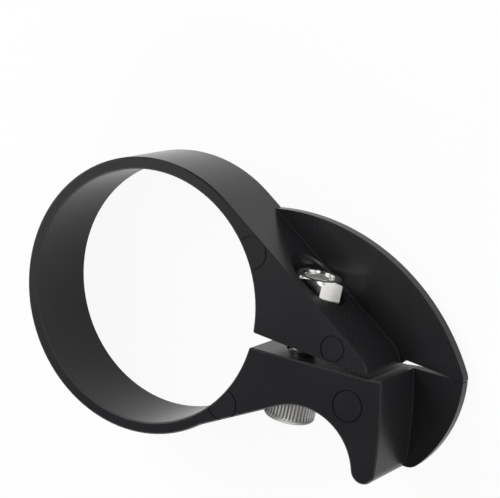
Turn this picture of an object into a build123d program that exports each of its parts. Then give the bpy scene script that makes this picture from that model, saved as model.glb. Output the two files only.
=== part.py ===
from build123d import *
import os
from math import acos, atan2, cos, radians, sin, sqrt, tan

# A chain guide that clamps on a bicycle's seat tube. A thin split ring is moulded in one piece with
# two jaws, a flat fin that sweeps round the jaws' outer ends, and a prong below a round scoop. A cap
# screw and a nut close the jaws.
#
# The bore's axis is Z and the flat back, with the fin, is z = 0. +X runs from the bore along the slit
# to the fin's tip, and +Y to the jaw that holds the nut. Sizes named OUT are measured along X from the
# bore's wall, and sizes named DROP along -Y from the bore's axis. Lengths are in mm, angles in degrees.

# Clamp ring
TUBE_D = 34.9
RING_WALL = 1.64
WIDTH = 11.5

# Upper jaw, which holds the nut: a straight wall, tangent to the ring, that ends in a round nose
UPPER_WALL_FALL = 32.5
NOSE_OUT = 17.55
NOSE_R = 4.5

# Lower jaw, which seats the screw head: a bowed outer wall, a round prong tip and a scoop
PRONG_OUT = 20.95
PRONG_DROP = 15.1
PRONG_WALL_R = 67.0
PRONG_TIP_R = 1.735
SCOOP_OUT = 9.53
SCOOP_DROP = 15.86
SCOOP_R = 8.25
UNDERSIDE_STEP = 0.3

# Fin: an arc from the ring to the tip beside the slit and an arc from there to the toe at the prong,
# with the tip and the toe rounded off
FIN_T = 1.6
FIN_START_ANGLE = 49.9
FIN_UPPER_R = 29.8
FIN_TIP_OUT = 26.56
FIN_TIP_DROP = 0.2
FIN_TIP_R = 2.0
FIN_LOWER_R = 17.5
FIN_TOE_OUT = 21.92
FIN_TOE_DROP = 14.4
FIN_TOE_R = 2.0
COVE_R = 0.1

# Slit: a wedge between the jaws, wide at the bore. The upper jaw's side has draft, so the slit opens
# toward the back, and the jaws' drops are at the front, at the bore's wall. Just past the nose the
# upper side steps up to the fin on a short slope, and the lower side ramps up to the lower jaw's knee.
# From there the slit narrows through the fin, and from SHUT a thin cut runs on through the tip.
SLIT_UPPER_DROP = 0.02
SLIT_UPPER_FALL = 3.24
SLIT_UPPER_DRAFT = 1.5
SLIT_LOWER_DROP = 2.08
SLIT_LOWER_RISE = 2.82
SLIT_STEP_START = 0.1
SLIT_STEP_RUN = 0.45
SLIT_KNEE_RISE = 0.22
SLIT_SHUT_OUT = 25.2
SLIT_CUT = 0.12
SLIT_TIP_DROP = 0.76
SLIT_TIP_FALL = 3.78
SLIT_CORNER_R = 0.4

# Cap screw, whose axis leans from Y toward the fin's tip
SCREW_OUT = 5.05
SCREW_LEAN = 1.9
SCREW_D = 4.0
SCREW_LENGTH = 16.0
SCREW_TIP_CHAMFER = 0.5
HEAD_D = 7.0
HEAD_H = 4.0
HEAD_RIM_R = 0.6
HEAD_SEAT_DROP = 7.6
SOCKET_AF = 3.0
SOCKET_DEPTH = 2.0

# Nut
NUT_AF = 6.2
NUT_H = 3.2
NUT_FACE_D = 6.1
NUT_SINK_D = 4.6
NUT_CHAMFER_ANGLE = 45.0
NUT_TURN = 25.0
NUT_SEAT_RISE = 5.4

# Clearances, on the radius
SCREW_HOLE_CLEARANCE = 0.2
HEAD_CLEARANCE = 0.3
NUT_POCKET_CLEARANCE = 0.36
THREAD_CLEARANCE = 0.05

# Moulding marks: the small bevel on the front edges and round the nut pocket, and the rings that the
# ejector pins left on the front face, each as (OUT, height above the bore's axis, radius)
EDGE_BEVEL = 0.2
PIN_MARKS = [(-2.2, 10.4, 2.2), (11.8, 1.26, 1.67), (15.4, -5.5, 2.1), (-2.7, -10.9, 2.2)]
PIN_MARK_LINE = 0.2
PIN_MARK_DEPTH = 0.12

BORE_R = TUBE_D / 2
RING_R = BORE_R + RING_WALL
SCREW_R = SCREW_D / 2
MID_Z = WIDTH / 2
FIN_TIP_X = BORE_R + FIN_TIP_OUT
# From the middle of a hexagon's flat to its corner
HALF_HEX = 30.0
NUT_CORNER_R = NUT_AF / 2 / cos(radians(HALF_HEX))
# Cuts run past the faces that they open on by this much
PAST = 1.0

# The screw, the nut and their seats are modelled about Y, then put here
screw_place = Pos(BORE_R + SCREW_OUT, 0, MID_Z) * Rot(0, 0, -SCREW_LEAN)


def from_bore(out, height):
    """A point of the outline, OUT from the bore's wall and at a height above its axis."""
    return Vector(BORE_R + out, height)


def circles_meet(centre_a, radius_a, centre_b, radius_b):
    """The points where two circles cross: first the one on the left of the way from a to b."""
    between = centre_b - centre_a
    ahead = between.normalized()
    left = Vector(-ahead.Y, ahead.X)
    along = (between.length**2 + radius_a**2 - radius_b**2) / (2 * between.length)
    across = sqrt(radius_a**2 - along**2)
    foot = centre_a + ahead * along
    return foot + left * across, foot - left * across


def toward(centre, target, radius):
    """The point on a circle about centre that lies toward target."""
    return centre + (target - centre).normalized() * radius


def arc_about(centre, start, end):
    """The shorter arc about centre from start to end."""
    halfway = (start - centre).normalized() + (end - centre).normalized()
    return ThreePointArc(start, toward(centre, centre + halfway, (start - centre).length), end)


def fin_edge(x):
    """The height of the slit's upper side in the fin."""
    return (FIN_TIP_X - x) * tan(radians(SLIT_TIP_FALL)) - SLIT_TIP_DROP


def upper_jaw_edge(x, z):
    """The height of the slit's upper side in the jaw, z from the back."""
    draft = (WIDTH - z) * tan(radians(SLIT_UPPER_DRAFT))
    return draft - SLIT_UPPER_DROP - (x - BORE_R) * tan(radians(SLIT_UPPER_FALL))


def lower_edge(x):
    """The height of the slit's lower side in the jaw."""
    return (x - BORE_R) * tan(radians(SLIT_LOWER_RISE)) - SLIT_LOWER_DROP


def on_slit(x):
    """A point just above the lower jaw, inside the slit all along."""
    return Vector(x, lower_edge(x) + SLIT_CUT / 2)


# Upper jaw's outline: a wall tangent to the ring, then the nose, which ends on the slit
wall_way = Vector(cos(radians(UPPER_WALL_FALL)), -sin(radians(UPPER_WALL_FALL)))
wall_out = Vector(sin(radians(UPPER_WALL_FALL)), cos(radians(UPPER_WALL_FALL)))
upper_touch = wall_out * RING_R
nose_end = on_slit(BORE_R + NOSE_OUT)
nose_inset = NOSE_R - RING_R + nose_end.dot(wall_out)
nose_start = upper_touch + wall_way * (nose_end.dot(wall_way) - sqrt(NOSE_R**2 - nose_inset**2))
nose_centre = nose_start - wall_out * NOSE_R
upper_wall = [Line(upper_touch, nose_start), arc_about(nose_centre, nose_start, nose_end)]

# Lower jaw's outline: the bowed wall and the scoop both run into the round prong tip, and the
# underside is the line that touches both the scoop and a circle just inside the ring's outer face
wall_centre = from_bore(PRONG_OUT - PRONG_WALL_R, -PRONG_DROP)
scoop_centre = from_bore(SCOOP_OUT, -SCOOP_DROP)
tip_centre = circles_meet(
    scoop_centre, SCOOP_R + PRONG_TIP_R, wall_centre, PRONG_WALL_R - PRONG_TIP_R
)[1]
knee_rise = on_slit(BORE_R + PRONG_OUT).Y + SLIT_KNEE_RISE - wall_centre.Y
knee_x = wall_centre.X + sqrt(PRONG_WALL_R**2 - knee_rise**2)
knee = on_slit(knee_x) + Vector(0, SLIT_KNEE_RISE)
tip_on_wall = toward(wall_centre, tip_centre, PRONG_WALL_R)
tip_on_scoop = toward(scoop_centre, tip_centre, SCOOP_R)
underside_r = RING_R - UNDERSIDE_STEP
scoop_angle = atan2(scoop_centre.Y, scoop_centre.X)
underside_angle = scoop_angle - acos((underside_r + SCOOP_R) / scoop_centre.length)
underside_out = Vector(cos(underside_angle), sin(underside_angle))
lower_touch = underside_out * underside_r
scoop_start = scoop_centre - underside_out * SCOOP_R
prong_wall = arc_about(wall_centre, knee, tip_on_wall)

# Fin's outline: upper arc, rounded tip, lower arc, toe
start_angle = radians(FIN_START_ANGLE)
fin_start = Vector(cos(start_angle), sin(start_angle)) * RING_R
fin_tip = from_bore(FIN_TIP_OUT, -FIN_TIP_DROP)
fin_toe = from_bore(FIN_TOE_OUT, -FIN_TOE_DROP)
fin_upper_centre = circles_meet(fin_start, FIN_UPPER_R, fin_tip, FIN_UPPER_R)[1]
fin_lower_centre = circles_meet(fin_tip, FIN_LOWER_R, fin_toe, FIN_LOWER_R)[1]
round_centre = circles_meet(
    fin_upper_centre, FIN_UPPER_R - FIN_TIP_R, fin_lower_centre, FIN_LOWER_R - FIN_TIP_R
)[1]
round_start = toward(fin_upper_centre, round_centre, FIN_UPPER_R)
round_end = toward(fin_lower_centre, round_centre, FIN_LOWER_R)
toe_height = fin_toe.Y + FIN_TOE_R
toe_reach = sqrt((FIN_LOWER_R - FIN_TOE_R) ** 2 - (toe_height - fin_lower_centre.Y) ** 2)
toe_centre = Vector(fin_lower_centre.X + toe_reach, toe_height)
toe_start = toward(fin_lower_centre, toe_centre, FIN_LOWER_R)
toe_end = toe_centre - Vector(0, FIN_TOE_R)


def jaw_faces():
    """The outlines of the upper and the lower jaw, closed through the bore."""
    bore_on_slit = on_slit(0)
    upper = make_face(
        upper_wall + [Line(nose_end, bore_on_slit), Line(bore_on_slit, upper_touch)]
    )
    lower = make_face(
        [
            prong_wall,
            arc_about(tip_centre, tip_on_wall, tip_on_scoop),
            arc_about(scoop_centre, tip_on_scoop, scoop_start),
            Line(scoop_start, lower_touch),
            Line(lower_touch, bore_on_slit),
            Polyline(bore_on_slit, nose_end, knee),
        ]
    )
    return upper, lower


def fin_face():
    """The fin's outline, closed through the prong, the slit and the bore."""
    bore_on_slit = on_slit(0)
    return make_face(
        [
            arc_about(fin_upper_centre, fin_start, round_start),
            arc_about(round_centre, round_start, round_end),
            arc_about(fin_lower_centre, round_end, toe_start),
            arc_about(toe_centre, toe_start, toe_end),
            Polyline(toe_end, (tip_centre.X, toe_end.Y), tip_centre),
            Line(tip_centre, knee),
            Polyline(knee, nose_end, bore_on_slit),
            Line(bore_on_slit, fin_start),
        ]
    )


def cove_along(path, outward):
    """The hollow round between a jaw's wall and the fin, along the wall's path."""
    sunk = COVE_R / 4
    side = COVE_R + sunk
    middle = (COVE_R - sunk) / 2
    section = Pos(middle, middle) * Rectangle(side, side) - Pos(COVE_R, COVE_R) * Circle(COVE_R)
    foot = path @ 0 + Vector(0, 0, FIN_T)
    frame = Plane(foot, x_dir=outward, z_dir=path % 0)
    return sweep(frame * section, path=Pos(0, 0, FIN_T) * path)


def cylinder_along_screw(radius, start, end):
    """A cylinder about the screw's axis from one height to another."""
    about_y = Plane((0, start, 0), x_dir=(1, 0, 0), z_dir=(0, 1, 0))
    return screw_place * extrude(about_y * Circle(radius), end - start)


def mouth_bevel(radius):
    """The bevel round the mouth that a hole about the screw's axis has in the upper jaw's wall."""
    axis = Vector(sin(radians(SCREW_LEAN)), cos(radians(SCREW_LEAN)))
    foot = from_bore(SCREW_OUT, 0)
    slant = axis.dot(wall_out)
    rings = []
    for height, grown in [(-EDGE_BEVEL, 0), (EDGE_BEVEL, 2 * EDGE_BEVEL)]:
        middle = foot + axis * ((RING_R + height - foot.dot(wall_out)) / slant)
        wall = Plane((middle.X, middle.Y, MID_Z), x_dir=wall_way, z_dir=wall_out)
        rings.append(wall * Ellipse(radius / slant + grown, radius + grown))
    return loft(rings)


def slit_section(z):
    """The slit's outline at one height, from inside the bore to past the fin's tip."""
    foot_x = nose_end.X + SLIT_STEP_START
    step_x = foot_x + SLIT_STEP_RUN
    knee_x = knee.X + SLIT_CUT
    shut_x = BORE_R + SLIT_SHUT_OUT
    past_x = FIN_TIP_X + PAST
    outline = Polyline(
        (0, lower_edge(0)),
        (foot_x, lower_edge(foot_x)),
        (knee_x, lower_edge(knee_x) + SLIT_KNEE_RISE),
        (shut_x, fin_edge(shut_x) - SLIT_CUT),
        (past_x, fin_edge(past_x) - SLIT_CUT),
        (past_x, fin_edge(past_x)),
        (step_x, fin_edge(step_x)),
        (foot_x, upper_jaw_edge(foot_x, z)),
        (0, upper_jaw_edge(0, z)),
        close=True,
    )
    return Pos(0, 0, z) * make_face(outline)


def edge_near(body, x, y):
    """The edge nearest to a point halfway up the jaws."""
    return body.edges().sort_by_distance(Vector(x, y, MID_Z))[0]


def make_guide_body():
    """The moulding: ring, jaws, fin and prong in one piece."""
    upper_jaw, lower_jaw = jaw_faces()
    fin = fin_face()
    coves = cove_along(Wire(upper_wall), wall_out)
    coves += cove_along(Wire([prong_wall]), knee - wall_centre)
    body = extrude(Circle(RING_R), WIDTH) + extrude(upper_jaw, WIDTH) + extrude(lower_jaw, WIDTH)
    body += extrude(fin, FIN_T)
    body += coves & extrude(fin, WIDTH)
    body -= Pos(0, 0, -PAST) * extrude(Circle(BORE_R), WIDTH + 2 * PAST)
    body -= loft([slit_section(-PAST), slit_section(WIDTH + PAST)], ruled=True)
    # Screw hole, head seat and nut pocket, all about the screw's axis
    hole_r = SCREW_R + SCREW_HOLE_CLEARANCE
    seat_r = HEAD_D / 2 + HEAD_CLEARANCE
    pocket_r = NUT_CORNER_R + NUT_POCKET_CLEARANCE
    body -= cylinder_along_screw(hole_r, -HEAD_SEAT_DROP, NUT_SEAT_RISE)
    body -= cylinder_along_screw(seat_r, -HEAD_SEAT_DROP - RING_R, -HEAD_SEAT_DROP)
    body -= cylinder_along_screw(pocket_r, NUT_SEAT_RISE, NUT_SEAT_RISE + RING_R)
    body -= mouth_bevel(pocket_r)
    front = body.faces().sort_by(Axis.Z)[-1]
    body = chamfer(front.edges(), EDGE_BEVEL)
    # The slit's corners at the bore are rounded
    body = fillet(edge_near(body, BORE_R, upper_jaw_edge(BORE_R, MID_Z)), SLIT_CORNER_R)
    body = fillet(edge_near(body, BORE_R, lower_edge(BORE_R)), SLIT_CORNER_R)
    for out, height, radius in PIN_MARKS:
        ring = Circle(radius + PIN_MARK_LINE / 2) - Circle(radius - PIN_MARK_LINE / 2)
        body -= Pos(BORE_R + out, height, WIDTH - PIN_MARK_DEPTH) * extrude(ring, PAST)
    return body


def make_clamp_screw():
    """A socket cap screw, turned about its axis, with its head toward -Y."""
    head_r = HEAD_D / 2
    seat = -HEAD_SEAT_DROP
    head_end = seat - HEAD_H
    tip = seat + SCREW_LENGTH
    rim_centre = Vector(head_r - HEAD_RIM_R, head_end + HEAD_RIM_R)
    rim_start = rim_centre - Vector(0, HEAD_RIM_R)
    rim_end = rim_centre + Vector(HEAD_RIM_R, 0)
    section = make_face(
        [
            Line((0, head_end), rim_start),
            arc_about(rim_centre, rim_start, rim_end),
            Polyline(
                rim_end,
                (head_r, seat),
                (SCREW_R, seat),
                (SCREW_R, tip - SCREW_TIP_CHAMFER),
                (SCREW_R - SCREW_TIP_CHAMFER, tip),
                (0, tip),
                (0, head_end),
            ),
        ]
    )
    screw = revolve(section, axis=Axis.Y)
    socket_plane = Plane((0, head_end, 0), x_dir=(1, 0, 0), z_dir=(0, 1, 0))
    hexagon = RegularPolygon(SOCKET_AF / 2, side_count=6, major_radius=False)
    screw -= extrude(socket_plane * hexagon, SOCKET_DEPTH)
    return screw_place * screw


def make_clamp_nut():
    """A hexagon nut, chamfered on its outer face, on its seat in the pocket."""
    seat_plane = Plane((0, NUT_SEAT_RISE, 0), x_dir=(1, 0, 0), z_dir=(0, 1, 0))
    turn = HALF_HEX - NUT_TURN
    hexagon = RegularPolygon(NUT_AF / 2, side_count=6, major_radius=False, rotation=turn)
    face_r = NUT_FACE_D / 2
    blank_r = NUT_CORNER_R + NUT_POCKET_CLEARANCE
    slope = (blank_r - face_r) * tan(radians(NUT_CHAMFER_ANGLE))
    bore_r = SCREW_R + THREAD_CLEARANCE
    sink = NUT_SINK_D / 2 - bore_r
    low = NUT_SEAT_RISE
    high = NUT_SEAT_RISE + NUT_H
    section = Polyline(
        (bore_r, low + sink),
        (bore_r + sink, low),
        (blank_r, low),
        (blank_r, high - slope),
        (face_r, high),
        (bore_r + sink, high),
        (bore_r, high - sink),
        close=True,
    )
    turned = revolve(make_face(section), axis=Axis.Y)
    nut = extrude(seat_plane * hexagon, NUT_H) & turned
    return screw_place * nut


os.makedirs("parts", exist_ok=True)
export_step(make_guide_body(), "parts/guide_body.step")
export_step(make_clamp_screw(), "parts/clamp_screw.step")
export_step(make_clamp_nut(), "parts/clamp_nut.step")
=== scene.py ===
"""Dresses the clamp-on guide: its finishes, the rolled screw, a table, soft boxes and the camera."""
import math

import bmesh
import bpy
from mathutils import Matrix, Vector


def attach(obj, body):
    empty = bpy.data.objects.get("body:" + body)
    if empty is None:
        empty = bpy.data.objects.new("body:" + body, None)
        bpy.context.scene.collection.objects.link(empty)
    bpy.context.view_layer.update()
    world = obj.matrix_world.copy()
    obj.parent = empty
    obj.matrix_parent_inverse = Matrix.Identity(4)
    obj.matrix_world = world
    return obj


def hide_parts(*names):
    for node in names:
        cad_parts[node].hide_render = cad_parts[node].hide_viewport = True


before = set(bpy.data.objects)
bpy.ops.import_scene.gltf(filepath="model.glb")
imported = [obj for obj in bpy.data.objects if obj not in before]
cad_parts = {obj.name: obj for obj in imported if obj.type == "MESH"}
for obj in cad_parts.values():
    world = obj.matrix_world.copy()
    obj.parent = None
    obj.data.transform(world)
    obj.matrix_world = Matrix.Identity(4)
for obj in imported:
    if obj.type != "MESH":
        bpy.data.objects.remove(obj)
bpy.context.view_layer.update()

# Sizes, in millimetres unless a name says otherwise
MM = 0.001

# Heights of the moulding's flat faces over its back: the back, the fin and the front
FLAT_FACES = (0.0, 1.6, 11.5)
FLAT_REACH = 0.12

# The jaws' walls, by distance from the bore's axis: where they leave the ring and where they are clear
JAWS_LEAVE = 19.1
JAWS_CLEAR = 24.0

# The cove at the foot of the jaws' walls: its middle over the back face, and half its height
COVE_AT = 1.665
COVE_HALF = 0.055

# The bevel on the bore's front edge: its middle over the back face, half its height, and its outer radius
MOUTH_AT = 11.4
MOUTH_HALF = 0.095
MOUTH_R = 17.68

# The screw: a point on its axis, its lean from +Y to +X, and places along it from the head to the tip
SCREW_AT = Vector((22.5, 0.0, 5.75))
SCREW_LEAN_DEG = 1.9
HEAD_END = -11.6
HEAD_SEAT = -7.6
SCREW_TIP = 8.4
HEAD_R = 3.5
HEAD_RIM_R = 0.6
SEAT_CHAMFER = 0.2
SHANK_R = 2.0
SHANK_ROOT = 0.6
TIP_CHAMFER = 0.5

# The hexagon socket, and the shallow cone in its floor
SOCKET_FLATS = 6
SOCKET_AF = 3.0
SOCKET_DEPTH = 2.0
SOCKET_MOUTH = 0.12
CONE_R = 0.9
CONE_RIM = 0.05
CONE_DEPTH = 0.4

# Rolled ridges: only what lies within a skin of the blank's outside is rolled
KNURL_START = HEAD_END + HEAD_RIM_R
KNURL_END = HEAD_SEAT - SEAT_CHAMFER
KNURL_RIDGES = 44
KNURL_DEPTH = 0.17
KNURL_FADE = 0.25
THREAD_PITCH = 0.7
THREAD_DEPTH = 0.42
THREAD_FADE = 0.8
SKIN = 0.05

# A ridge's flank, as a share of the pitch: the crest's middle is at 0 and the root's at 0.5
FLANK_START = 0.06
FLANK_END = 0.4

# The head's rim, end and socket, painted darker as painted shade and made duller: where this starts and
# where it is full, and its radius round the socket
RIM_SHADE_START = KNURL_START + 0.05
RIM_SHADE_FULL = KNURL_START - 0.1
SOCKET_SHADE_R = 0.75 * HEAD_R

# Mesh steps of the screw, round it and along it
HEAD_STEPS = KNURL_RIDGES * 12
KNURL_STEPS = 12
RIM_STEPS = 6
SHANK_STEPS = 60
SHANK_STEP = THREAD_PITCH / 12
TIP_STEPS = 6

# Points of the screw closer than this are welded, and edges that turn more than this stay sharp
WELD = 0.00001
SHARP_DEG = 32

# The photo's viewpoint: a point on the view axis, and the camera's place round it
AIM = Vector((11.963, 9.268, 5.75))
CAMERA_DISTANCE = 267.06
CAMERA_AZIMUTH_DEG = 28.053
CAMERA_ELEVATION_DEG = 59.491
CAMERA_ROLL_DEG = -104.72
LENS = 142.766
SENSOR = 36.0
CLIP_NEAR = 1.0
CLIP_FAR = 20000.0

# The table, just under the part
FLOOR_HALF = 4000.0
FLOOR_GAP = 0.05

# Soft boxes: azimuth and elevation in degrees, distance, width, and power in watts
SOFT_BOXES = {
    "high_left": (144, 32, 600, 330, 4.2),
    "low_right": (30, 8, 600, 330, 2.3),
    "low_front": (275, 10, 600, 700, 9.0),
    "near_left": (180, 40, 220, 160, 0.117),
    "near_top": (150, 65, 220, 160, 0.147),
    "right_card": (-15, 18, 600, 330, 0.5),
    "top_card": (70, 16, 600, 220, 0.25),
    "back_card": (118, 12, 600, 200, 0.14),
}


def linear(hex_colour):
    """sRGB hex to the linear colour that shaders take."""
    channels = [int(hex_colour[i:i + 2], 16) / 255 for i in (1, 3, 5)]
    return [c / 12.92 if c <= 0.04045 else ((c + 0.055) / 1.055) ** 2.4 for c in channels] + [1.0]


def add(tree, kind, inputs=None, **settings):
    """Adds a node, gives it its settings, and links or sets its inputs."""
    made = tree.nodes.new(kind)
    for name, value in settings.items():
        setattr(made, name, value)
    for key, value in (inputs or {}).items():
        if isinstance(value, bpy.types.NodeSocket):
            tree.links.new(value, made.inputs[key])
        else:
            made.inputs[key].default_value = value
    return made


def new_material(name):
    """An empty node material, ready for its shader and output."""
    material = bpy.data.materials.new(name)
    material.use_nodes = True
    material.node_tree.nodes.clear()
    return material


# Materials

def moulded_black_nylon():
    """Glass-filled nylon from a steel mould: near-black. The flat faces come from spark-eroded steel and
    are satin with a fine even grain. The jaws' walls are as satin but smoother, with a dull corner at their
    foot. The ring's walls come from polished steel and shine, most of all at a low angle. The bore's front
    edge is dull, and is painted a little paler as painted light to lift the dark line it shows."""
    # The grain of spark erosion is finer than this, and is drawn as coarse as it needs to show
    grain_mm = 0.35
    grain_depth_mm = 0.02
    grain_on_walls = 0.03
    grain_on_faces = 0.06
    flow_mm = 9.0
    # Roughness of polished and satin parts, and what adds to it
    polished = 0.10
    satin = 0.18
    dull_adds = 0.35
    flow_adds = 0.08
    grain_adds = 0.08
    material = new_material("moulded_black_nylon")
    tree = material.node_tree
    place = add(tree, "ShaderNodeTexCoord").outputs["Object"]
    height = add(tree, "ShaderNodeSeparateXYZ", {"Vector": place}).outputs["Z"]
    across = add(tree, "ShaderNodeVectorMath", {0: place, 1: (1.0, 1.0, 0.0)}, operation="MULTIPLY")
    radius = add(tree, "ShaderNodeVectorMath", {0: across.outputs["Vector"]},
                 operation="LENGTH").outputs["Value"]
    # Where a point is: 1 on the flat faces, on the jaws, in the cove at their foot, on the bore's edge
    flat = 0.0
    for level in FLAT_FACES:
        near = add(tree, "ShaderNodeMath", {0: height, 1: level * MM, 2: FLAT_REACH * MM},
                   operation="COMPARE").outputs["Value"]
        flat = add(tree, "ShaderNodeMath", {0: flat, 1: near}, operation="MAXIMUM").outputs["Value"]
    jaws = add(tree, "ShaderNodeMapRange", {"Value": radius, "From Min": JAWS_LEAVE * MM,
                                            "From Max": JAWS_CLEAR * MM}).outputs["Result"]
    foot = add(tree, "ShaderNodeMath", {0: height, 1: COVE_AT * MM, 2: COVE_HALF * MM},
               operation="COMPARE").outputs["Value"]
    cove = add(tree, "ShaderNodeMath", {0: foot, 1: jaws}, operation="MULTIPLY").outputs["Value"]
    bevel = add(tree, "ShaderNodeMath", {0: height, 1: MOUTH_AT * MM, 2: MOUTH_HALF * MM},
                operation="COMPARE").outputs["Value"]
    mouth = add(tree, "ShaderNodeMath", {0: radius, 1: MOUTH_R * MM},
                operation="LESS_THAN").outputs["Value"]
    mouth_light_and_dull = add(tree, "ShaderNodeMath", {0: bevel, 1: mouth}, operation="MULTIPLY").outputs["Value"]
    # Colour, roughness and relief
    grain = add(tree, "ShaderNodeTexNoise", {"Vector": place, "Scale": 1 / (grain_mm * MM),
                                             "Detail": 3.0}).outputs["Fac"]
    flow = add(tree, "ShaderNodeTexNoise", {"Vector": place, "Scale": 1 / (flow_mm * MM),
                                            "Detail": 2.0}).outputs["Fac"]
    black = add(tree, "ShaderNodeMix", {"Factor": flow, "A": linear("#19191b"), "B": linear("#1e1e20")},
                data_type="RGBA")
    # Painted light: the bore's front bevel is painted paler than the black, to lift its dark line; the same
    # mask makes it duller
    tint = add(tree, "ShaderNodeMix", {"Factor": mouth_light_and_dull, "A": black.outputs["Result"],
                                       "B": linear("#2b2b2d")}, data_type="RGBA")
    spread = add(tree, "ShaderNodeMath", {0: flat, 1: jaws}, operation="MAXIMUM").outputs["Value"]
    gloss = add(tree, "ShaderNodeMapRange", {"Value": spread, "To Min": polished,
                                             "To Max": satin}).outputs["Result"]
    dull = add(tree, "ShaderNodeMath", {0: cove, 1: mouth_light_and_dull}, operation="MAXIMUM").outputs["Value"]
    worn = add(tree, "ShaderNodeMath", {0: dull, 1: dull_adds, 2: gloss},
               operation="MULTIPLY_ADD").outputs["Value"]
    run = add(tree, "ShaderNodeMath", {0: flow, 1: flow_adds, 2: worn},
              operation="MULTIPLY_ADD").outputs["Value"]
    rough = add(tree, "ShaderNodeMath", {0: grain, 1: grain_adds, 2: run},
                operation="MULTIPLY_ADD").outputs["Value"]
    relief = add(tree, "ShaderNodeMapRange", {"Value": flat, "To Min": grain_on_walls,
                                              "To Max": grain_on_faces}).outputs["Result"]
    bump = add(tree, "ShaderNodeBump", {"Height": grain, "Strength": relief,
                                        "Distance": grain_depth_mm * MM})
    shader = add(tree, "ShaderNodeBsdfPrincipled", {"Base Color": tint.outputs["Result"],
                                                    "Roughness": rough, "IOR": 1.5,
                                                    "Specular IOR Level": 0.2,
                                                    "Normal": bump.outputs["Normal"]})
    add(tree, "ShaderNodeOutputMaterial", {"Surface": shader.outputs["BSDF"]})
    return material


def rolled_zinc_plated_steel():
    """Cold-headed steel with bright zinc: pale grey, with a soft shine on the rolled crests. The grooves
    are painted darker as painted shade and are duller; the rim, the end and the socket are painted darkest
    as painted shade, and are duller where the die struck them."""
    cloud_mm = 0.9
    cloud_depth_mm = 0.02
    cloud_relief = 0.15
    # Roughness of the plating, and what adds to it
    clear = 0.34
    clouded = 0.44
    groove_adds = 0.12
    rim_socket_rough_adds = 0.15
    material = new_material("rolled_zinc_plated_steel")
    tree = material.node_tree
    place = add(tree, "ShaderNodeTexCoord").outputs["Object"]
    cloud = add(tree, "ShaderNodeTexNoise", {"Vector": place, "Scale": 1 / (cloud_mm * MM),
                                             "Detail": 4.0}).outputs["Fac"]
    groove = add(tree, "ShaderNodeAttribute", attribute_name="groove").outputs["Fac"]
    # Where shade is painted and the plating is duller: the rim and the end, and all of the head that is
    # near its axis
    along = add(tree, "ShaderNodeSeparateXYZ", {"Vector": place}).outputs["Y"]
    rim = add(tree, "ShaderNodeMapRange", {"Value": along, "From Min": RIM_SHADE_START * MM,
                                           "From Max": RIM_SHADE_FULL * MM}).outputs["Result"]
    across = add(tree, "ShaderNodeMapping", {"Vector": place, "Location": -SCREW_AT * MM,
                                             "Scale": (1, 0, 1)})
    radius = add(tree, "ShaderNodeVectorMath", {0: across.outputs["Vector"]},
                 operation="LENGTH").outputs["Value"]
    inner = add(tree, "ShaderNodeMath", {0: radius, 1: SOCKET_SHADE_R * MM},
                operation="LESS_THAN").outputs["Value"]
    head = add(tree, "ShaderNodeMath", {0: along, 1: HEAD_SEAT * MM},
               operation="LESS_THAN").outputs["Value"]
    socket = add(tree, "ShaderNodeMath", {0: inner, 1: head}, operation="MULTIPLY").outputs["Value"]
    rim_socket_shade_and_dull = add(tree, "ShaderNodeMath", {0: rim, 1: socket}, operation="MAXIMUM").outputs["Value"]
    # Colour, roughness and relief
    # Painted shade: the grooves of the knurl and thread are painted darker than the crests
    rolled = add(tree, "ShaderNodeMix", {"Factor": groove, "A": linear("#e8e7e5"),
                                         "B": linear("#858381")}, data_type="RGBA")
    # Painted shade: the rim, the end and the socket are painted darker
    tint = add(tree, "ShaderNodeMix", {"Factor": rim_socket_shade_and_dull, "A": rolled.outputs["Result"],
                                       "B": linear("#7e7d7b")}, data_type="RGBA")
    gloss = add(tree, "ShaderNodeMapRange", {"Value": cloud, "To Min": clear,
                                             "To Max": clouded}).outputs["Result"]
    deep = add(tree, "ShaderNodeMath", {0: groove, 1: groove_adds, 2: gloss},
               operation="MULTIPLY_ADD").outputs["Value"]
    rough = add(tree, "ShaderNodeMath", {0: rim_socket_shade_and_dull, 1: rim_socket_rough_adds, 2: deep},
                operation="MULTIPLY_ADD").outputs["Value"]
    bump = add(tree, "ShaderNodeBump", {"Height": cloud, "Strength": cloud_relief,
                                        "Distance": cloud_depth_mm * MM})
    shader = add(tree, "ShaderNodeBsdfPrincipled", {"Base Color": tint.outputs["Result"],
                                                    "Metallic": 1.0, "Roughness": rough,
                                                    "Normal": bump.outputs["Normal"]})
    add(tree, "ShaderNodeOutputMaterial", {"Surface": shader.outputs["BSDF"]})
    return material


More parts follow.
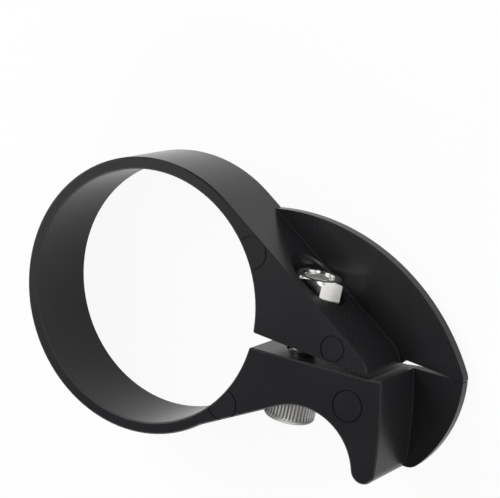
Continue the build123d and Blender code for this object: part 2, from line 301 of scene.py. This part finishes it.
def turned_nickel_plated_steel():
    """A turned and nickel-plated nut: bright, with clear reflections and turning rings about its hole."""
    # Turning marks are finer than this, and are drawn as coarse as they need to show
    ring_mm = 1.005
    ring_depth_mm = 0.01
    ring_relief = 0.1
    # Roughness between the rings and on them
    smooth = 0.16
    ridged = 0.22
    # At scale 1 a wave texture runs through this many radians in a metre
    wave_radians = 20
    material = new_material("turned_nickel_plated_steel")
    tree = material.node_tree
    place = add(tree, "ShaderNodeTexCoord").outputs["Object"]
    turned = add(tree, "ShaderNodeMapping", {"Vector": place, "Location": SCREW_AT * MM,
                                             "Rotation": (0.0, 0.0, math.radians(-SCREW_LEAN_DEG))},
                 vector_type="TEXTURE")
    rings = add(tree, "ShaderNodeTexWave", {"Vector": turned.outputs["Vector"],
                                            "Scale": 2 * math.pi / (wave_radians * ring_mm * MM),
                                            "Distortion": 0.4, "Detail": 2.0},
                wave_type="RINGS", rings_direction="Y").outputs["Fac"]
    gloss = add(tree, "ShaderNodeMapRange", {"Value": rings, "To Min": smooth,
                                             "To Max": ridged}).outputs["Result"]
    bump = add(tree, "ShaderNodeBump", {"Height": rings, "Strength": ring_relief,
                                        "Distance": ring_depth_mm * MM})
    tint = add(tree, "ShaderNodeMix", {"Factor": rings, "A": linear("#eae8e4"), "B": linear("#f4f2ef")},
               data_type="RGBA")
    shader = add(tree, "ShaderNodeBsdfPrincipled", {"Base Color": tint.outputs["Result"],
                                                    "Metallic": 1.0, "Roughness": gloss,
                                                    "Normal": bump.outputs["Normal"]})
    add(tree, "ShaderNodeOutputMaterial", {"Surface": shader.outputs["BSDF"]})
    return material


def backlit_opal_acrylic():
    """An opal acrylic table, lit from below so that it shows as an even white, and dimmer to the part than
    to the eye."""
    glow_to_eye = 0.93
    glow_to_part = 0.57
    material = new_material("backlit_opal_acrylic")
    tree = material.node_tree
    shown = add(tree, "ShaderNodeBsdfPrincipled", {"Base Color": linear("#262626"), "Roughness": 0.9,
                                                   "Emission Color": linear("#ffffff"),
                                                   "Emission Strength": glow_to_eye})
    lighting = add(tree, "ShaderNodeBsdfPrincipled", {"Base Color": linear("#8c8c8c"), "Roughness": 0.9,
                                                      "Emission Color": linear("#ffffff"),
                                                      "Emission Strength": glow_to_part})
    seen = add(tree, "ShaderNodeLightPath").outputs["Is Camera Ray"]
    both = add(tree, "ShaderNodeMixShader", {0: seen, 1: lighting.outputs["BSDF"],
                                             2: shown.outputs["BSDF"]})
    add(tree, "ShaderNodeOutputMaterial", {"Surface": both.outputs["Shader"]})
    return material


# The screw

def turned_blank(name, profile, steps):
    """A closed shell turned about Z from (radius, height, flats) rings. A ring with flats is that polygon,
    with radius as half the width across its flats. The two end rings close on a point."""
    mesh = bmesh.new()
    loops = []
    for radius, height, flats in profile:
        if radius == 0:
            loops.append([mesh.verts.new((0, 0, height * MM))])
            continue
        loop = []
        for step in range(steps):
            angle = 2 * math.pi * step / steps
            reach = radius
            if flats:
                wedge = 2 * math.pi / flats
                reach = radius / math.cos((angle + wedge / 2) % wedge - wedge / 2)
            spot = (reach * math.cos(angle) * MM, reach * math.sin(angle) * MM, height * MM)
            loop.append(mesh.verts.new(spot))
        loops.append(loop)
    for low, high in zip(loops, loops[1:]):
        for step in range(steps):
            after = (step + 1) % steps
            corners = [low[step % len(low)], low[after % len(low)],
                       high[after % len(high)], high[step % len(high)]]
            mesh.faces.new(dict.fromkeys(corners))
    bmesh.ops.recalc_face_normals(mesh, faces=mesh.faces)
    shell = bpy.data.meshes.new(name)
    mesh.to_mesh(shell)
    mesh.free()
    piece = bpy.data.objects.new(name, shell)
    bpy.context.scene.collection.objects.link(piece)
    return piece


def head_profile():
    """The head from the bottom of its socket, over the rounded rim and down the knurl to its seat."""
    half_af = SOCKET_AF / 2
    corner = half_af / math.cos(math.pi / SOCKET_FLATS)
    floor = HEAD_END + SOCKET_DEPTH
    rings = [(0, floor + CONE_DEPTH, 0),
             (CONE_R, floor + CONE_RIM, 0),
             (half_af, floor, SOCKET_FLATS),
             (half_af, HEAD_END + SOCKET_MOUTH, SOCKET_FLATS),
             (corner + SOCKET_MOUTH, HEAD_END, 0)]
    for step in range(RIM_STEPS + 1):
        turn = math.pi / 2 * step / RIM_STEPS
        radius = HEAD_R - HEAD_RIM_R * (1 - math.sin(turn))
        rings.append((radius, HEAD_END + HEAD_RIM_R * (1 - math.cos(turn)), 0))
    for step in range(1, KNURL_STEPS + 1):
        rings.append((HEAD_R, KNURL_START + (KNURL_END - KNURL_START) * step / KNURL_STEPS, 0))
    rings.append((HEAD_R - SEAT_CHAMFER, HEAD_SEAT, 0))
    rings.append((0, HEAD_SEAT, 0))
    return rings


def shank_profile():
    """The shank from inside the head to the chamfered tip."""
    start = HEAD_SEAT - SHANK_ROOT
    bevel = SCREW_TIP - TIP_CHAMFER
    rings = [(0, start, 0)]
    count = round((bevel - start) / SHANK_STEP)
    for step in range(count + 1):
        rings.append((SHANK_R, start + (bevel - start) * step / count, 0))
    for step in range(1, TIP_STEPS + 1):
        cut = TIP_CHAMFER * step / TIP_STEPS
        rings.append((SHANK_R - cut, bevel + cut, 0))
    rings.append((0, SCREW_TIP, 0))
    return rings


def ridge_roller():
    """A tree that rolls ridges into a turned blank about Z: Ridges round it, and Twist of them in each
    metre along it."""
    tree = bpy.data.node_groups.new("ridge_roller", "GeometryNodeTree")
    face = tree.interface
    face.new_socket("Blank", in_out="INPUT", socket_type="NodeSocketGeometry")
    for name in ("Ridges", "Twist", "Depth", "Start", "End", "Fade", "Skin"):
        face.new_socket(name, in_out="INPUT", socket_type="NodeSocketFloat")
    face.new_socket("Finish", in_out="INPUT", socket_type="NodeSocketMaterial")
    face.new_socket("Rolled", in_out="OUTPUT", socket_type="NodeSocketGeometry")
    given = add(tree, "NodeGroupInput").outputs
    place = add(tree, "GeometryNodeInputPosition").outputs["Position"]
    axes = add(tree, "ShaderNodeSeparateXYZ", {"Vector": place}).outputs
    flat = add(tree, "ShaderNodeCombineXYZ", {"X": axes["X"], "Y": axes["Y"]}).outputs["Vector"]
    radius = add(tree, "ShaderNodeVectorMath", {0: flat}, operation="LENGTH").outputs["Value"]
    outward = add(tree, "ShaderNodeVectorMath", {0: flat}, operation="NORMALIZE").outputs["Vector"]
    # Where a point lies in its ridge: 0 on the crest and 1 in the root
    angle = add(tree, "ShaderNodeMath", {0: axes["Y"], 1: axes["X"]},
                operation="ARCTAN2").outputs["Value"]
    turn = add(tree, "ShaderNodeMath", {0: angle, 1: 2 * math.pi}, operation="DIVIDE").outputs["Value"]
    rise = add(tree, "ShaderNodeMath", {0: axes["Z"], 1: given["Twist"]},
               operation="MULTIPLY").outputs["Value"]
    phase = add(tree, "ShaderNodeMath", {0: turn, 1: given["Ridges"], 2: rise},
                operation="MULTIPLY_ADD").outputs["Value"]
    slope = add(tree, "ShaderNodeMath", {0: phase, 1: 0.5}, operation="PINGPONG").outputs["Value"]
    groove = add(tree, "ShaderNodeMapRange", {"Value": slope, "From Min": FLANK_START,
                                              "From Max": FLANK_END}).outputs["Result"]
    # The ridges fade out at both ends, and leave all that lies inside the skin
    entry = add(tree, "ShaderNodeMath", {0: given["Start"], 1: given["Fade"]},
                operation="ADD").outputs["Value"]
    leave = add(tree, "ShaderNodeMath", {0: given["End"], 1: given["Fade"]},
                operation="SUBTRACT").outputs["Value"]
    fade_in = add(tree, "ShaderNodeMapRange", {"Value": axes["Z"], "From Min": given["Start"],
                                               "From Max": entry}).outputs["Result"]
    fade_out = add(tree, "ShaderNodeMapRange", {"Value": axes["Z"], "From Min": given["End"],
                                                "From Max": leave}).outputs["Result"]
    outside = add(tree, "ShaderNodeMath", {0: radius, 1: given["Skin"]},
                  operation="GREATER_THAN").outputs["Value"]
    ends = add(tree, "ShaderNodeMath", {0: fade_in, 1: fade_out}, operation="MULTIPLY").outputs["Value"]
    rolled = add(tree, "ShaderNodeMath", {0: ends, 1: outside}, operation="MULTIPLY").outputs["Value"]
    cut = add(tree, "ShaderNodeMath", {0: groove, 1: rolled}, operation="MULTIPLY").outputs["Value"]
    # The cut is kept for the finish, and pushes the surface in
    inward = add(tree, "ShaderNodeMath", {0: given["Depth"], 1: -1.0},
                 operation="MULTIPLY").outputs["Value"]
    reach = add(tree, "ShaderNodeMath", {0: cut, 1: inward}, operation="MULTIPLY").outputs["Value"]
    shift = add(tree, "ShaderNodeVectorMath", {0: outward, "Scale": reach},
                operation="SCALE").outputs["Vector"]
    marked = add(tree, "GeometryNodeStoreNamedAttribute", {"Geometry": given["Blank"], "Name": "groove",
                                                           "Value": cut},
                 data_type="FLOAT", domain="POINT")
    moved = add(tree, "GeometryNodeSetPosition", {"Geometry": marked.outputs["Geometry"],
                                                  "Offset": shift})
    plain = add(tree, "GeometryNodeRealizeInstances", {"Geometry": moved.outputs["Geometry"]})
    dressed = add(tree, "GeometryNodeSetMaterial", {"Geometry": plain.outputs["Geometry"],
                                                    "Material": given["Finish"]})
    add(tree, "NodeGroupOutput", {"Rolled": dressed.outputs["Geometry"]})
    return tree


def roll(blank, tree, sizes):
    """Runs the roller on a blank and returns the rolled mesh, plain."""
    modifier = blank.modifiers.new("ridges", "NODES")
    modifier.node_group = tree
    for socket in tree.interface.items_tree:
        if socket.in_out == "INPUT" and socket.name in sizes:
            modifier[socket.identifier] = sizes[socket.name]
    view = bpy.context.evaluated_depsgraph_get()
    mesh = bpy.data.meshes.new_from_object(blank.evaluated_get(view))
    blank.modifiers.remove(modifier)
    bpy.data.objects.remove(blank)
    return mesh


def rolled_screw(finish):
    """The cap screw: a knurled head and a threaded shank, on the leaning axis of the jaws' bore."""
    tree = ridge_roller()
    knurl = {"Ridges": float(KNURL_RIDGES), "Twist": 0.0, "Depth": KNURL_DEPTH * MM,
             "Start": KNURL_START * MM, "End": KNURL_END * MM, "Fade": KNURL_FADE * MM,
             "Skin": (HEAD_R - SKIN) * MM, "Finish": finish}
    thread = {"Ridges": 1.0, "Twist": -1 / (THREAD_PITCH * MM), "Depth": THREAD_DEPTH * MM,
              "Start": HEAD_SEAT * MM, "End": (SCREW_TIP + THREAD_FADE) * MM, "Fade": THREAD_FADE * MM,
              "Skin": (SHANK_R - TIP_CHAMFER - SKIN) * MM, "Finish": finish}
    head = roll(turned_blank("head", head_profile(), HEAD_STEPS), tree, knurl)
    shank = roll(turned_blank("shank", shank_profile(), SHANK_STEPS), tree, thread)
    both = bmesh.new()
    both.from_mesh(head)
    both.from_mesh(shank)
    bmesh.ops.remove_doubles(both, verts=both.verts, dist=WELD * MM)
    bmesh.ops.recalc_face_normals(both, faces=both.faces)
    lay_down = Matrix.Rotation(math.radians(-90), 4, "X")
    lean = Matrix.Rotation(math.radians(-SCREW_LEAN_DEG), 4, "Z")
    both.transform(Matrix.Translation(SCREW_AT * MM) @ lean @ lay_down)
    mesh = bpy.data.meshes.new("rolled_screw")
    both.to_mesh(mesh)
    both.free()
    mesh.materials.append(finish)
    mesh.shade_smooth()
    mesh.set_sharp_from_angle(angle=math.radians(SHARP_DEG))
    screw = bpy.data.objects.new("rolled_screw", mesh)
    bpy.context.scene.collection.objects.link(screw)
    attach(screw, "root")
    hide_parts("clamp_screw")


def dress(node, finish):
    """Gives a CAD node its finish."""
    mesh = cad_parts[node].data
    mesh.materials.clear()
    mesh.materials.append(finish)


# Stage, lights and camera

def lay_floor(finish):
    """A plain white table just under the part's back face."""
    mesh = bpy.data.meshes.new("floor")
    reach = FLOOR_HALF * MM
    level = -FLOOR_GAP * MM
    corners = [(-reach, -reach, level), (reach, -reach, level),
               (reach, reach, level), (-reach, reach, level)]
    mesh.from_pydata(corners, [], [(0, 1, 2, 3)])
    mesh.materials.append(finish)
    floor = bpy.data.objects.new("floor", mesh)
    bpy.context.scene.collection.objects.link(floor)


def toward(azimuth_deg, elevation_deg):
    """The way from the part at an azimuth from +X and an elevation over the table."""
    azimuth = math.radians(azimuth_deg)
    elevation = math.radians(elevation_deg)
    return Vector((math.cos(azimuth) * math.cos(elevation), math.sin(azimuth) * math.cos(elevation),
                   math.sin(elevation)))


def hang_light(name, azimuth_deg, elevation_deg, distance, width, power):
    """A square soft box that faces the part, with its power in watts."""
    lamp = bpy.data.lights.new(name, "AREA")
    lamp.shape = "SQUARE"
    lamp.size = width * MM
    lamp.energy = power
    back = toward(azimuth_deg, elevation_deg)
    light = bpy.data.objects.new(name, lamp)
    light.location = (AIM + back * distance) * MM
    light.rotation_euler = back.to_track_quat("Z", "Y").to_euler()
    light.visible_camera = False
    bpy.context.scene.collection.objects.link(light)


def light_room():
    """A dark room with a pale backdrop, lit by soft boxes round the table."""
    world = bpy.data.worlds.new("room")
    world.use_nodes = True
    tree = world.node_tree
    tree.nodes.clear()
    dark = add(tree, "ShaderNodeBackground", {"Color": linear("#ffffff"), "Strength": 0.0})
    backdrop = add(tree, "ShaderNodeBackground", {"Color": linear("#fafafa"), "Strength": 1.0})
    seen = add(tree, "ShaderNodeLightPath").outputs["Is Camera Ray"]
    both = add(tree, "ShaderNodeMixShader", {0: seen, 1: dark.outputs["Background"],
                                             2: backdrop.outputs["Background"]})
    add(tree, "ShaderNodeOutputWorld", {"Surface": both.outputs["Shader"]})
    bpy.context.scene.world = world
    for name, setting in SOFT_BOXES.items():
        hang_light(name, *setting)


def place_camera():
    """The photo's camera, turned about its view axis as the photo is."""
    back = toward(CAMERA_AZIMUTH_DEG, CAMERA_ELEVATION_DEG)
    across = Vector((0, 0, 1)).cross(back).normalized()
    upright = Matrix((across, back.cross(across), back)).transposed()
    turned = upright @ Matrix.Rotation(math.radians(CAMERA_ROLL_DEG), 3, "Z")
    lens = bpy.data.cameras.new("camera")
    lens.lens = LENS
    lens.sensor_width = SENSOR
    lens.clip_start = CLIP_NEAR * MM
    lens.clip_end = CLIP_FAR * MM
    camera = bpy.data.objects.new("camera", lens)
    camera.matrix_world = Matrix.Translation((AIM + back * CAMERA_DISTANCE) * MM) @ turned.to_4x4()
    bpy.context.scene.collection.objects.link(camera)
    bpy.context.scene.camera = camera


dress("guide_body", moulded_black_nylon())
dress("clamp_nut", turned_nickel_plated_steel())
rolled_screw(rolled_zinc_plated_steel())
lay_floor(backlit_opal_acrylic())
light_room()
place_camera()
bpy.context.scene.view_settings.view_transform = "Standard"
